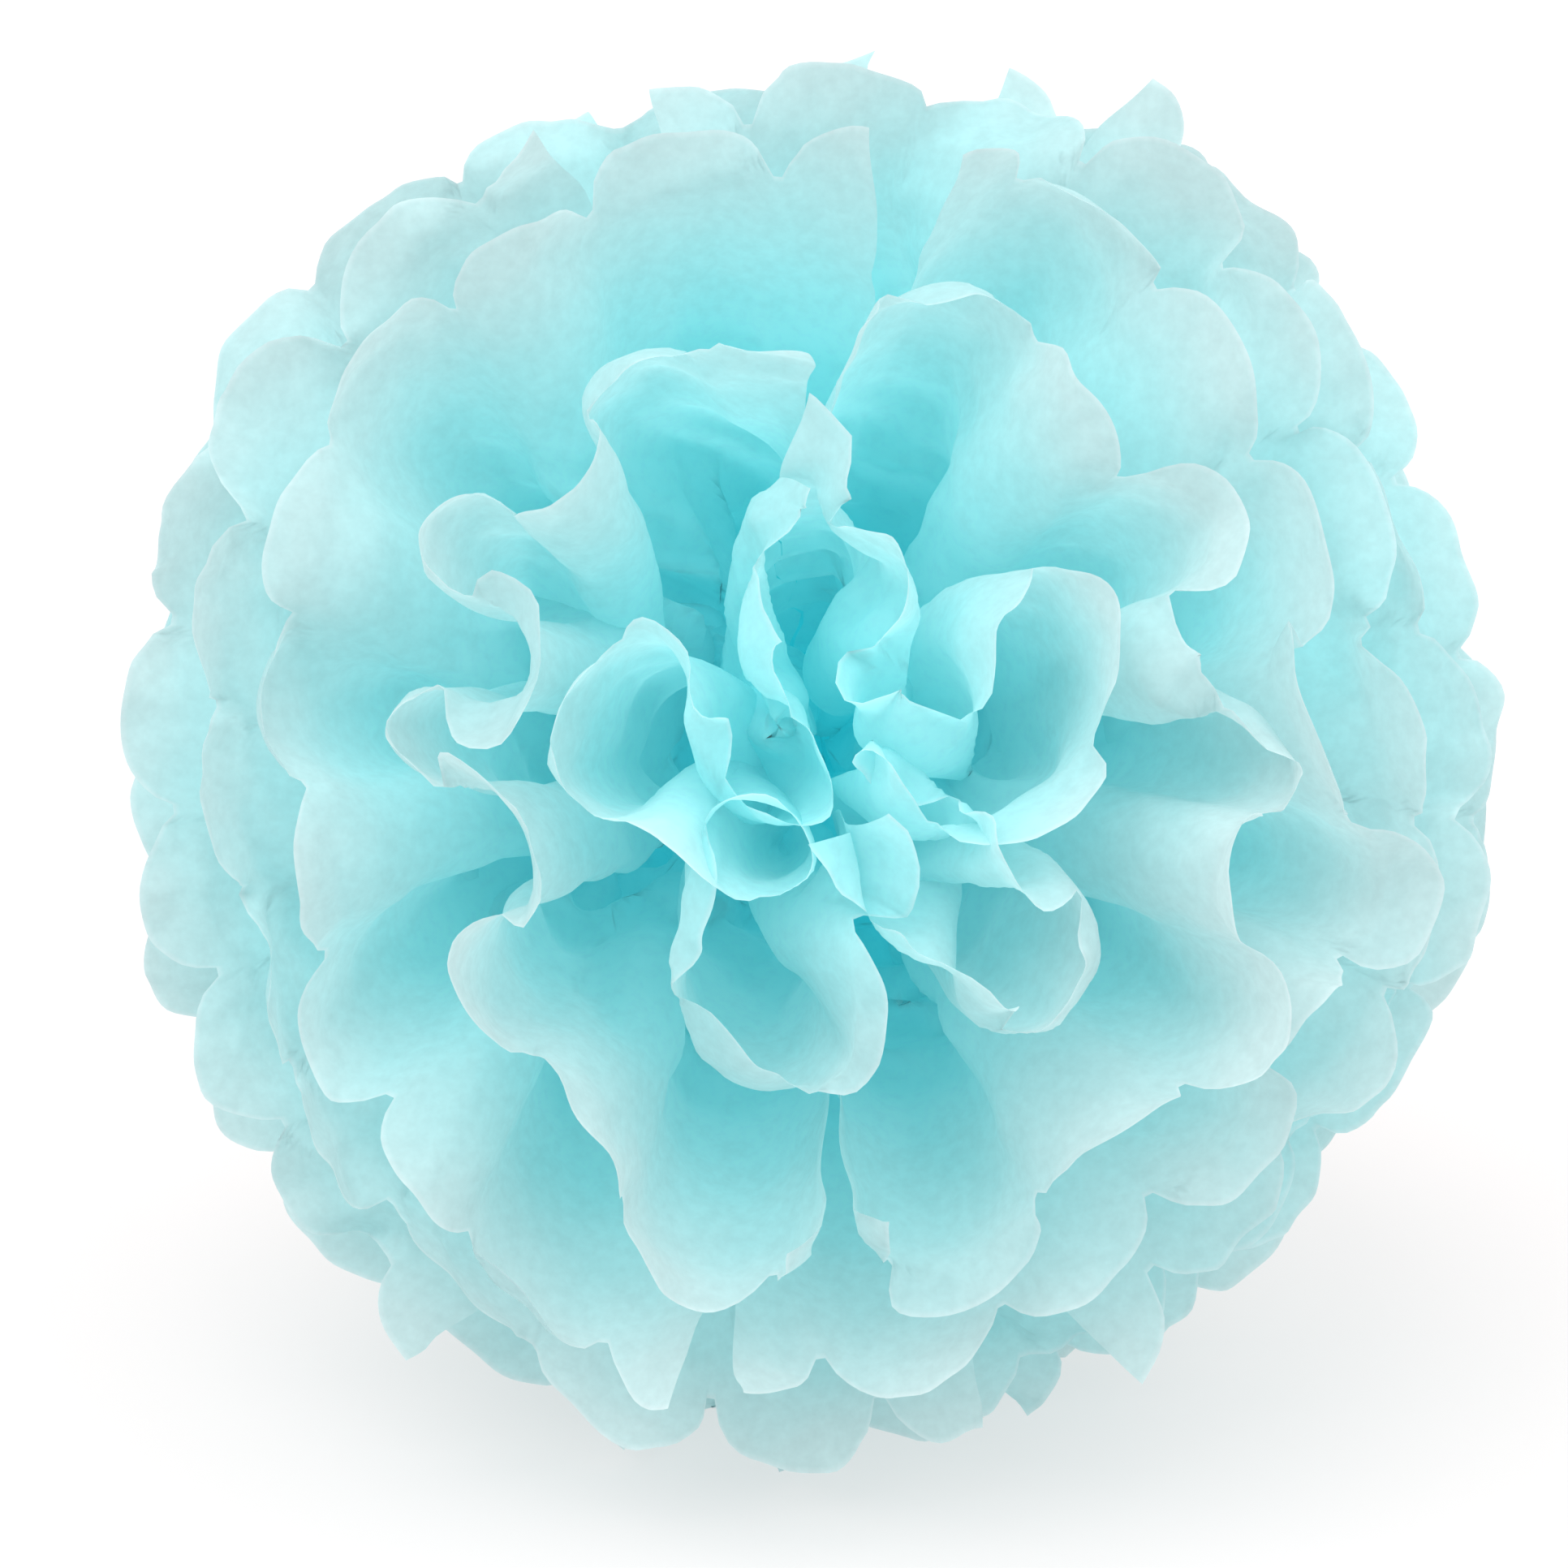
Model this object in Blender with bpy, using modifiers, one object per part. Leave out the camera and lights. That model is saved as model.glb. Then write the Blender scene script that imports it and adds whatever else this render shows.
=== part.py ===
"""Tissue paper pom pom: twelve pleated sheets tied at the waist and fluffed into a ball.

Each sheet is cut square at the sides and scalloped at both ends, folded to and fro across
its whole width and gathered at its middle. The folds lie beside the notches of the cut, so
that every fold ends in a petal. Its two fans are then opened all the way round and bent to the front
or to the back, so that one sheet makes one ring of petals. Six rings face the front and six
the back. A twisted wire holds the waist. The ball stands with its front ring centre turned a
little upwards, and its lowest petals lie flat on the surface.

Metres, +Z up, the front towards -Y, and the origin under the middle of the ball.
"""

import math
import random

import bmesh
import bpy
import numpy as np

# One sheet, as it is cut and pleated.
SHEET_LENGTH = 0.254  # from petal tip to petal tip, through the waist
PLEAT_WIDTH = 0.033  # one panel between two folds, and so one petal
PLEATS = 10  # panels side by side across a sheet
SCALLOP_DEPTH = 0.013  # from a petal's tip down to the notch beside it
FOLD_SHIFT = 0.5  # share of a panel from a notch to the next fold
SCALLOP_ROUNDNESS = 2.3  # 2 is an ellipse, more is squarer
PLY = 0.0003  # thickness of the solid that stands for one sheet

# The ball. Angles are taken from the front pole, the middle of the front ring.
SHEETS_PER_SIDE = 6
POLE_TILT = math.radians(12)  # the front pole looks this far up
POLE_GAP = 14.0  # weight of the angle from a pole to its first sheet
SHEET_GAPS = (20.0, 15.0, 12.0, 11.0, 11.0)  # and from each of a side's sheets to the next
MIDDLE_GAP = 11.0  # and between the two sides
GAP_SWAY = 0.20  # share by which those angles vary round the ball
SEAM_ANGLE = math.radians(1.5)  # half the least gap between a sheet's two fans
SEAM_SWING = math.radians(20)  # how far a sheet's two gaps may lie from top and bottom
SWING_STEP = 2.4  # radians from one sheet's swing to the next
SWING_START = 0.7
STRETCH = 1.05  # the most that an outer ring's petals reach sideways
FLAT_SPOT_DEPTH = 0.0090  # how far the ball is pressed onto its surface
PRESS_BLEND = 0.006  # over which the pressed petals turn to the front or the back
PRESS_ROW = 0.45  # share of that depth below which the last row before the tips stays
FLOOR_SNAP = PLY / 3  # the undersides this near the surface lie exactly on it

# The petals of one sheet.
ROOM_SHARE = 0.47  # most of the gap to the next sheet that a fold takes up
POLE_SHARE = 0.85  # and of the gap to the pole
LEAST_RISE = 0.009  # of one fold above the next
LEAST_RUN = 0.018  # along the ring from one fold to the next
WIDTH_SPREAD = 0.42  # share by which the petals' spread varies
RISE_SPREAD = 0.50  # most by which a fold rises less than it could
RIM_SOFTNESS = 1.0  # how far a fold is rounded off at the rim, from 0 to 1
TIP_CURL = 0.011  # how far a petal's tip curls either way

# The waist, where the wire gathers the pleats.
NECK_LENGTH = 0.0052
NECK_PITCH = 0.0010  # one gathered panel
NECK_FOLD = 0.00018  # half the height of a gathered fold
NECK_MARGIN = 1.6  # depth of the rounded waist beside its sheets, counted in sheets
PLY_GAP = 0.0009  # between neighbouring sheets

# The wire round the waist, with its two ends twisted together.
WIRE_DIAMETER = 0.0009
WIRE_GAP = 0.0003  # to the paper, and between the two twisted ends
TWIST_LENGTH = 0.014
TWIST_TURNS = 2.5
LOOP_POINTS = 26
TWIST_POINTS = 18

# The slow bends of the whole ball.
BEND_SIZE = 0.0065
BEND_WAVE = 0.125
BEND_PHASES = (0.6, 2.1, 4.0, 1.3, 5.2, 3.3)

COLUMNS_PER_PLEAT = 4
MID_ROW = 0.5  # share of a fan's length
SEED = 7
SHEET_SEED = 100

SHEET_COUNT = 2 * SHEETS_PER_SIDE
BALL_RADIUS = SHEET_LENGTH / 2
FAN_LENGTH = BALL_RADIUS - NECK_LENGTH / 2
FAN_ROWS = (MID_ROW, 1 - PRESS_ROW * FLAT_SPOT_DEPTH / FAN_LENGTH, 1.0)
PLY_STEP = PLY + PLY_GAP
NECK_WIDTH = PLEATS * NECK_PITCH
NECK_DEPTH = (SHEET_COUNT + NECK_MARGIN) / 2 * PLY_STEP  # half the depth of the rounded waist
CENTRE_HEIGHT = BALL_RADIUS - FLAT_SPOT_DEPTH
SIDE_AXIS = np.array((1.0, 0.0, 0.0))
UP_AXIS = np.array((0.0, math.sin(POLE_TILT), math.cos(POLE_TILT)))
FRONT_AXIS = np.array((0.0, -math.cos(POLE_TILT), math.sin(POLE_TILT)))

PAPER_COLOUR = (0.30, 0.79, 0.83, 1.0)
WIRE_COLOUR = (0.62, 0.63, 0.64, 1.0)


def clear_scene():
    for obj in list(bpy.data.objects):
        bpy.data.objects.remove(obj, do_unlink=True)


def new_collection(name):
    collection = bpy.data.collections.new(name)
    bpy.context.scene.collection.children.link(collection)
    return collection


def make_material(name, colour, roughness, metallic):
    material = bpy.data.materials.new(name)
    material.use_nodes = True
    shader = material.node_tree.nodes["Principled BSDF"]
    shader.inputs["Base Color"].default_value = colour
    shader.inputs["Roughness"].default_value = roughness
    shader.inputs["Metallic"].default_value = metallic
    return material


def pole_angles(around):
    """Angle from the front pole of every sheet, for each angle round the ball."""
    weights = (POLE_GAP, *SHEET_GAPS, MIDDLE_GAP, *SHEET_GAPS[::-1], POLE_GAP)
    chance = random.Random(SEED)
    gaps = []
    for weight in weights:
        waves = chance.choice((1, 2, 3))
        phase = chance.uniform(0, 2 * math.pi)
        gaps.append(weight * (1 + GAP_SWAY * np.sin(waves * around + phase)))
    reached = np.cumsum(gaps, axis=0)
    return math.pi * reached[:-1] / reached[-1]


def room_beside(sheet, around):
    """How far either way a fold may lie from its sheet's own angle, as a length."""
    poles = pole_angles(around)
    gaps = ROOM_SHARE * np.diff(poles, axis=0)
    ahead = gaps[sheet - 1] if sheet else POLE_SHARE * poles[0]
    behind = gaps[sheet] if sheet < SHEET_COUNT - 1 else POLE_SHARE * (math.pi - poles[-1])
    return BALL_RADIUS * np.minimum(ahead, behind)


def waist_depth(sheet):
    """How far forward of the middle a sheet lies in the waist."""
    return ((SHEET_COUNT - 1) / 2 - sheet) * PLY_STEP


def waist_share(sheet):
    """How much of the waist's width and length a sheet gets, so that the waist is round."""
    return math.sqrt(1 - (waist_depth(sheet) / NECK_DEPTH) ** 2)


def seam_swing(sheet):
    """How far round the ball a sheet's fans are turned, so that no two gaps line up."""
    return SEAM_SWING * math.sin(SWING_STEP * sheet + SWING_START) * waist_share(sheet)


def soft_line(points, places):
    """Points at these places along a line through the folds, which is rounded at each."""
    inner = (points[2:] - points[:-2]) / 2
    steps = np.concatenate((points[1:2] - points[:1], inner, points[-1:] - points[-2:-1]))
    index = np.minimum(places.astype(int), len(points) - 2)
    t = (places - index)[:, None]
    start, end = points[index], points[index + 1]
    straight = start + t * (end - start)
    curved = (
        (2 * t**3 - 3 * t**2 + 1) * start
        + (t**3 - 2 * t**2 + t) * steps[index]
        + (3 * t**2 - 2 * t**3) * end
        + (t**3 - t**2) * steps[index + 1]
    )
    return straight + RIM_SOFTNESS * (curved - straight)


def rim_line(sheet, chance):
    """One fan's rim from its first edge, as angles round the ball, towards the front pole,
    and of the petals' curl.

    The folds zigzag across the ring, as far either way as there is room. In a short ring
    there are fewer of them than panels, and the paper is drawn narrower, as if crumpled."""
    half = np.linspace(-math.pi / 2, math.pi / 2, PLEATS + 1)
    ring = BALL_RADIUS * float(np.sin(pole_angles(half)[sheet]).mean())
    room = float(room_beside(sheet, half).min())
    whole = ring * (math.pi - 2 * SEAM_ANGLE)
    along = min(whole, STRETCH * PLEATS * PLEAT_WIDTH)
    folds = min(PLEATS, int(along / LEAST_RUN))
    spread = np.array([1 + WIDTH_SPREAD * chance.uniform(-1, 1) for _ in range(folds)])
    runs = np.concatenate(([0.0], np.cumsum(along * spread / spread.sum())))
    slant = PLEATS * PLEAT_WIDTH / folds
    height = math.sqrt(max(slant**2 - (along / folds) ** 2, LEAST_RISE**2))
    most = min(height / 2, room)
    rises = [most * (1 - RISE_SPREAD * chance.random()) * (-1) ** fold for fold in range(folds + 1)]
    places = np.linspace(0, folds, PLEATS * COLUMNS_PER_PLEAT + 1)
    line = soft_line(np.stack((runs, rises), axis=-1), places)
    curl = TIP_CURL * along / (PLEATS * PLEAT_WIDTH)
    curls = np.repeat([chance.uniform(-1, 1) * curl for _ in range(PLEATS)], COLUMNS_PER_PLEAT)
    curls = np.append(curls, 0.0) * np.sin(np.arange(len(line)) * math.pi / COLUMNS_PER_PLEAT) ** 2
    free = room - np.abs(line[:, 1])
    line = np.column_stack((line, np.clip(curls, -free, free)))
    line[:, 0] += (whole - along) / 2
    return line / (ring, BALL_RADIUS, BALL_RADIUS)


def petal_reach(share):
    """The scalloped cut: how far the paper reaches, for a share across one panel."""
    across = np.abs(2 * share - 1)
    return FAN_LENGTH - SCALLOP_DEPTH * (1 - np.sqrt(1 - across**SCALLOP_ROUNDNESS))


def bend(points):
    """A slow bend of the whole ball, which moves all sheets alike and so parts none."""
    waves = points * (2 * math.pi / BEND_WAVE)
    x, y, z = waves[..., 0], waves[..., 1], waves[..., 2]
    sines = [np.sin(wave + phase) for wave, phase in zip((y, z, z, x, x, y), BEND_PHASES)]
    shift = np.stack(sines[::2], axis=-1) + np.stack(sines[1::2], axis=-1)
    reach = np.linalg.norm(points, axis=-1, keepdims=True) / BALL_RADIUS
    return points + BEND_SIZE / 2 * reach**2 * shift


def press_on_floor(points):
    """Lays what would reach below the surface flat on it, turned away from the middle."""
    below = np.maximum(PLY / 2 - points[..., 2], 0.0)
    flat = points.copy()
    flat[..., 1] += below * np.clip(points[..., 1] / PRESS_BLEND, -1, 1)
    flat[..., 2] = np.maximum(points[..., 2], PLY / 2)
    return flat


def fan_points(sheet, left):
    """Rows of points of one fan, from its neck end to its petal tips."""
    chance = random.Random(SEED + SHEET_SEED * sheet + left)
    line = rim_line(sheet, chance)
    angle = line[:, 0] - math.pi / 2 + SEAM_ANGLE
    around = (math.pi - angle if left else angle) + seam_swing(sheet)
    own = pole_angles(around)[sheet]
    columns = np.arange(PLEATS * COLUMNS_PER_PLEAT + 1) / COLUMNS_PER_PLEAT
    reach = petal_reach((columns + FOLD_SHIFT) % 1.0)

    folds = np.arange(PLEATS + 1)
    folded = np.where(folds % 2, -NECK_FOLD, NECK_FOLD)
    full = waist_share(sheet)
    neck = (
        (-full if left else full) * NECK_LENGTH / 2 * SIDE_AXIS
        + np.outer((columns / PLEATS - 0.5) * NECK_WIDTH * full, UP_AXIS)
        + np.outer(waist_depth(sheet) + np.interp(columns, folds, folded), FRONT_AXIS)
    )
    rows = [neck]
    for row in FAN_ROWS:
        pole = own - line[:, 1] - line[:, 2] * max(0.0, row - MID_ROW) ** 2 / (1 - MID_ROW) ** 2
        way = (
            np.outer(np.sin(pole) * np.cos(around), SIDE_AXIS)
            + np.outer(np.sin(pole) * np.sin(around), UP_AXIS)
            + np.outer(np.cos(pole), FRONT_AXIS)
        )
        rows.append(neck + way * (row * reach)[:, None])
    return np.array(rows)


def ball_points():
    """Rows of points of every sheet, from the left fan's tips to the right fan's, and the
    centre of the ball. The origin comes out under the middle of the ball's box."""
    fans = [
        np.concatenate((fan_points(sheet, True)[::-1], fan_points(sheet, False)))
        for sheet in range(SHEET_COUNT)
    ]
    sheets = press_on_floor(bend(np.array(fans)) + (0, 0, CENTRE_HEIGHT))
    middle = (sheets.min(axis=(0, 1, 2)) + sheets.max(axis=(0, 1, 2))) / 2 * (1, 1, 0)
    return sheets - middle, (0, 0, CENTRE_HEIGHT) - middle


def thin_out(surface, rows, columns):
    """Removes the columns between folds and notches from the inner rows, where the panels
    are flat, and the notches' columns too next to the waist."""
    spare = []
    for edge in surface.edges:
        ends = [((v.co.x + 0.5) * (columns - 1), (v.co.y + 0.5) * (rows - 1)) for v in edge.verts]
        column = round(ends[0][0])
        lengthwise = round(ends[1][0]) == column
        middle = (ends[0][1] + ends[1][1]) / 2
        from_tips = min(middle, rows - 1 - middle)
        kept = COLUMNS_PER_PLEAT if from_tips > 2 else COLUMNS_PER_PLEAT // 2
        if lengthwise and from_tips > 1 and column % kept:
            spare.append(edge)
    bmesh.ops.dissolve_edges(surface, edges=spare, use_verts=True)


def make_sheet(name, points, collection, material, parent):
    rows, columns = points.shape[:2]
    surface = bmesh.new()
    bmesh.ops.create_grid(surface, x_segments=columns - 1, y_segments=rows - 1, size=0.5)
    thin_out(surface, rows, columns)
    for vert in surface.verts:
        column = round((vert.co.x + 0.5) * (columns - 1))
        row = round((vert.co.y + 0.5) * (rows - 1))
        vert.co = points[row, column]
    bmesh.ops.triangulate(surface, faces=surface.faces[:])
    mesh = bpy.data.meshes.new(name)
    surface.to_mesh(mesh)
    surface.free()
    obj = bpy.data.objects.new(name, mesh)
    collection.objects.link(obj)
    obj.parent = parent
    mesh.materials.append(material)
    thick = obj.modifiers.new("Ply", "SOLIDIFY")
    thick.thickness = PLY
    thick.offset = 0.0
    settle(obj)


def settle(obj):
    """Makes the thickened sheet real, with its undersides flat where they meet the surface."""
    graph = bpy.context.evaluated_depsgraph_get()
    solid = bpy.data.meshes.new_from_object(obj.evaluated_get(graph))
    for vert in solid.vertices:
        if vert.co.z < FLOOR_SNAP:
            vert.co.z = 0.0
    obj.modifiers.clear()
    thin, obj.data = obj.data, solid
    bpy.data.meshes.remove(thin)
    solid.name = obj.name


def wire_route():
    """Centre line of the wire: up one twisted end, round the waist, up the other end."""
    side = NECK_WIDTH / 2 + WIRE_GAP + WIRE_DIAMETER
    front = NECK_DEPTH + WIRE_GAP + WIRE_DIAMETER / 2
    twist = (WIRE_DIAMETER + WIRE_GAP) / 2
    opening = math.asin(twist / front)
    turns = np.linspace(math.pi / 2 + opening, 2.5 * math.pi - opening, LOOP_POINTS)
    loop = np.outer(np.cos(turns) * front, FRONT_AXIS) + np.outer(np.sin(turns) * side, UP_AXIS)
    rise = np.linspace(0, 1, TWIST_POINTS + 1)[1:]
    ends = []
    for start in (math.pi, 0.0):
        turned = start + rise * TWIST_TURNS * 2 * math.pi
        ends.append(
            np.outer(np.sin(turned) * twist, SIDE_AXIS)
            + np.outer(np.cos(turned) * twist, FRONT_AXIS)
            + np.outer(side + rise * TWIST_LENGTH, UP_AXIS)
        )
    return np.concatenate((ends[0][::-1], loop, ends[1]))


def make_tie_wire(centre, collection, material, parent):
    route = wire_route() + centre
    curve = bpy.data.curves.new("tie_wire", "CURVE")
    curve.dimensions = "3D"
    curve.bevel_depth = WIRE_DIAMETER / 2
    curve.bevel_resolution = 1
    curve.use_fill_caps = True
    spline = curve.splines.new("POLY")
    spline.points.add(len(route) - 1)
    for point, place in zip(spline.points, route):
        point.co = (*place, 1.0)
    curve.materials.append(material)
    obj = bpy.data.objects.new("tie_wire", curve)
    collection.objects.link(obj)
    obj.parent = parent


def main():
    clear_scene()
    collection = new_collection("tissue_pom_pom")
    paper = make_material("tissue_paper", PAPER_COLOUR, 0.85, 0.0)
    wire = make_material("bare_wire", WIRE_COLOUR, 0.35, 1.0)
    ball = bpy.data.objects.new("ball", None)
    collection.objects.link(ball)
    sheets, centre = ball_points()
    for sheet, points in enumerate(sheets):
        side = "front" if sheet < SHEETS_PER_SIDE else "back"
        number = sheet + 1 if sheet < SHEETS_PER_SIDE else SHEET_COUNT - sheet
        make_sheet(f"{side}_sheet_{number}", points, collection, paper, ball)
    make_tie_wire(centre, collection, wire, ball)


main()
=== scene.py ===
"""Looks of the tissue paper pom pom.

Twelve sheets of dyed tissue, pleated, tied at the waist and fluffed, as fine surfaces over the
plain solids. The main folds and petals follow the same rules as the solids. The waves between
the folds, the bent tips, the small folds near the waist, the wrinkles and the paper itself are
added here.
"""

import math
import random

import bpy
import numpy as np
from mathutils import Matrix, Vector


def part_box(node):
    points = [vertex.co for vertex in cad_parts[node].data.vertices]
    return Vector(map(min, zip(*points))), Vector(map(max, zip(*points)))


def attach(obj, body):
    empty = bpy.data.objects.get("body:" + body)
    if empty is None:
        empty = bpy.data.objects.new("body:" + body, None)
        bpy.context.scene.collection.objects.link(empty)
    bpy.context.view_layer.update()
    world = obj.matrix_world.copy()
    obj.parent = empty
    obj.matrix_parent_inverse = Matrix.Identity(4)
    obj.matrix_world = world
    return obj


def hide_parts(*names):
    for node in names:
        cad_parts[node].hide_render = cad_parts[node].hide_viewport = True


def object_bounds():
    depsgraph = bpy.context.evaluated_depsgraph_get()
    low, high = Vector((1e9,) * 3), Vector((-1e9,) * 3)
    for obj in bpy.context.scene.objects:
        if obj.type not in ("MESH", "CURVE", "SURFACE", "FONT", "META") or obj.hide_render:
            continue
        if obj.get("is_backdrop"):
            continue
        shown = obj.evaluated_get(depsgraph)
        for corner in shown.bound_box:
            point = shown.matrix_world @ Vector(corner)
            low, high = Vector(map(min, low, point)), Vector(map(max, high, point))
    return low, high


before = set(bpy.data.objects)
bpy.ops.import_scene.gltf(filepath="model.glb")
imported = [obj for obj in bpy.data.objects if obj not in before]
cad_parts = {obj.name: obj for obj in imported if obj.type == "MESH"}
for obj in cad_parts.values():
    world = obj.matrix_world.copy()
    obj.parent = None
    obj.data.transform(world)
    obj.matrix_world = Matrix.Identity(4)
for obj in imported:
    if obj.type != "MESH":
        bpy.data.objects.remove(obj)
cad_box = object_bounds()

# One sheet, as it is cut and pleated.
SHEET_LENGTH = 0.254
PLEAT_WIDTH = 0.033
PLEATS = 10
SCALLOP_DEPTH = 0.013
SCALLOP_ROUNDNESS = 2.3
FOLD_SHIFT = 0.5

# The ball, as in the solids. Angles are taken from the front pole.
SHEETS_PER_SIDE = 6
POLE_TILT = math.radians(12)
POLE_GAP = 14.0
SHEET_GAPS = (20.0, 15.0, 12.0, 11.0, 11.0)
MIDDLE_GAP = 11.0
GAP_SWAY = 0.20
SEAM_ANGLE = math.radians(1.5)
SEAM_SWING = math.radians(20)
SWING_STEP = 2.4
SWING_START = 0.7
STRETCH = 1.05
FLAT_SPOT_DEPTH = 0.0090
PRESS_BLEND = 0.006
ROOM_SHARE = 0.47
POLE_SHARE = 0.85
LEAST_RISE = 0.009
LEAST_RUN = 0.018
WIDTH_SPREAD = 0.42
RISE_SPREAD = 0.50
RIM_SOFTNESS = 1.0
TIP_CURL = 0.011
CURL_START = 0.5
NECK_LENGTH = 0.0052
NECK_PITCH = 0.0010
NECK_FOLD = 0.00018
NECK_MARGIN = 1.6
PLY = 0.0003
PLY_GAP = 0.0009
BEND_SIZE = 0.0065
BEND_WAVE = 0.125
BEND_PHASES = (0.6, 2.1, 4.0, 1.3, 5.2, 3.3)
SEED = 7
SHEET_SEED = 100

# The lattice on which the paper finds its folds.
COLUMNS_PER_PLEAT = 7
FAN_ROW_COUNT = 27
SMALL_FOLD_SHARE = 0.6  # of the room beside the sheet
SMALL_FOLD_START = 0.80  # share of a fan's length where the small folds begin, going inwards
SMALL_FOLD_FULL = 0.45
LAYER_ROOM = 0.0022  # how close together the layers lie where the paper is crowded
FULL_WIDTH = 0.92  # the rest is in crumples finer than the lattice
RELAX_STEPS = 260
BEND_HOLD = 0.12  # how strongly the paper keeps straight, each step
CREASE_HOLD = 0.02
WIDE_HOLD = 0.05
WEDGE_START = 0.12  # share of a fan's length from which the sheets keep apart
WEDGE_SHARE = 0.97

# The fine surface.
FINE_PER_COLUMN = 3
FINE_ROW_COUNT = 56
FLAP_DEPTH = (0.005, 0.017)  # from a petal's tip to the line along which it is bent over
FLAP_ANGLE = math.radians(50)
FLAP_REACH = 0.002
FLAP_SEED = 40
WRINKLE = 0.0008
DETAIL_SEED = 50
CRUSH = 0.0018  # of the crushed paper near the waist
CRUSH_WAVE = 0.011
CRUSH_TWIST = 0.031

SHEET_COUNT = 2 * SHEETS_PER_SIDE
BALL_RADIUS = SHEET_LENGTH / 2
FAN_LENGTH = BALL_RADIUS - NECK_LENGTH / 2
PLY_STEP = PLY + PLY_GAP
NECK_WIDTH = PLEATS * NECK_PITCH
NECK_DEPTH = (SHEET_COUNT + NECK_MARGIN) / 2 * PLY_STEP
CENTRE_HEIGHT = BALL_RADIUS - FLAT_SPOT_DEPTH
SIDE_AXIS = np.array((1.0, 0.0, 0.0))
UP_AXIS = np.array((0.0, math.sin(POLE_TILT), math.cos(POLE_TILT)))
FRONT_AXIS = np.array((0.0, -math.cos(POLE_TILT), math.sin(POLE_TILT)))

# The photograph's view.
IMAGE_SIZE = 1932
BALL_PIXELS = 1760  # across the ball
BALL_CENTRE_PIXEL = (1005, 925)
CAMERA_LENS = 100.0
SENSOR_WIDTH = 36.0
CAMERA_ELEVATION = math.radians(14)
RIM_WIDTH = 0.0012  # of the painted highlight along the cut
DEEPEST = 0.2  # share of the ball's radius below which the painted shade makes the paper as deep a blue as it gets
POLE_SHADE = 0.28  # the crowded petals near a pole count as lying deeper
POLE_ZONE = (math.radians(26), math.radians(6))
LIGHT_BOUNCES = 3
INNER_GLOW = (  # stands for light that has bounced on between many layers of paper
    (0.0, (0.005, 0.106, 0.130)),
    (0.6, (0.033, 0.076, 0.082)),
    (1.0, (0.002, 0.006, 0.007)),
)
PAPER_COLOURS_AND_PAINTED_SHADE = (  # by how near the surface of the ball the paper lies: the paper's own cyan, turned deeper and more saturated towards the middle as painted shade of light bounced between layers
    (0.0, (0.14, 0.93, 0.95)),
    (0.62, (0.50, 0.935, 0.955)),
    (1.0, (0.66, 0.83, 0.835)),
)
# painted highlight along the cut, where the thin edge would catch the light
PAINTED_RIM_HIGHLIGHT = (0.86, 0.94, 0.95)
LET_THROUGH = 0.58  # share of the light that the paper lets through
FLOOR_GLOW = 0.575  # keeps the floor's shadows light


def ramp(low, high, value):
    """0 at low, 1 at high, and smooth between them."""
    t = np.clip((value - low) / (high - low), 0, 1)
    return t * t * (3 - 2 * t)


def pole_angles(around):
    """Angle from the front pole of every sheet, for each angle round the ball."""
    weights = (POLE_GAP, *SHEET_GAPS, MIDDLE_GAP, *SHEET_GAPS[::-1], POLE_GAP)
    chance = random.Random(SEED)
    gaps = []
    for weight in weights:
        waves = chance.choice((1, 2, 3))
        phase = chance.uniform(0, 2 * math.pi)
        gaps.append(weight * (1 + GAP_SWAY * np.sin(waves * around + phase)))
    reached = np.cumsum(gaps, axis=0)
    return math.pi * reached[:-1] / reached[-1]


def room_beside(sheet, around):
    """How far either way a fold may lie from its sheet's own angle, as a length."""
    poles = pole_angles(around)
    gaps = ROOM_SHARE * np.diff(poles, axis=0)
    ahead = gaps[sheet - 1] if sheet else POLE_SHARE * poles[0]
    behind = gaps[sheet] if sheet < SHEET_COUNT - 1 else POLE_SHARE * (math.pi - poles[-1])
    return BALL_RADIUS * np.minimum(ahead, behind)


def waist_depth(sheet):
    """How far forward of the middle a sheet lies in the waist."""
    return ((SHEET_COUNT - 1) / 2 - sheet) * PLY_STEP


def waist_share(sheet):
    """How much of the waist's width and length a sheet gets, so that the waist is round."""
    return math.sqrt(1 - (waist_depth(sheet) / NECK_DEPTH) ** 2)


def seam_swing(sheet):
    """How far round the ball a sheet's fans are turned, so that no two gaps line up."""
    return SEAM_SWING * math.sin(SWING_STEP * sheet + SWING_START) * waist_share(sheet)


def soft_line(points, places):
    """Points at these places along a line through the folds, which is rounded at each."""
    inner = (points[2:] - points[:-2]) / 2
    steps = np.concatenate((points[1:2] - points[:1], inner, points[-1:] - points[-2:-1]))
    index = np.minimum(places.astype(int), len(points) - 2)
    t = (places - index)[:, None]
    start, end = points[index], points[index + 1]
    straight = start + t * (end - start)
    curved = (
        (2 * t**3 - 3 * t**2 + 1) * start
        + (t**3 - 2 * t**2 + t) * steps[index]
        + (3 * t**2 - 2 * t**3) * end
        + (t**3 - t**2) * steps[index + 1]
    )
    return straight + RIM_SOFTNESS * (curved - straight)


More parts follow.
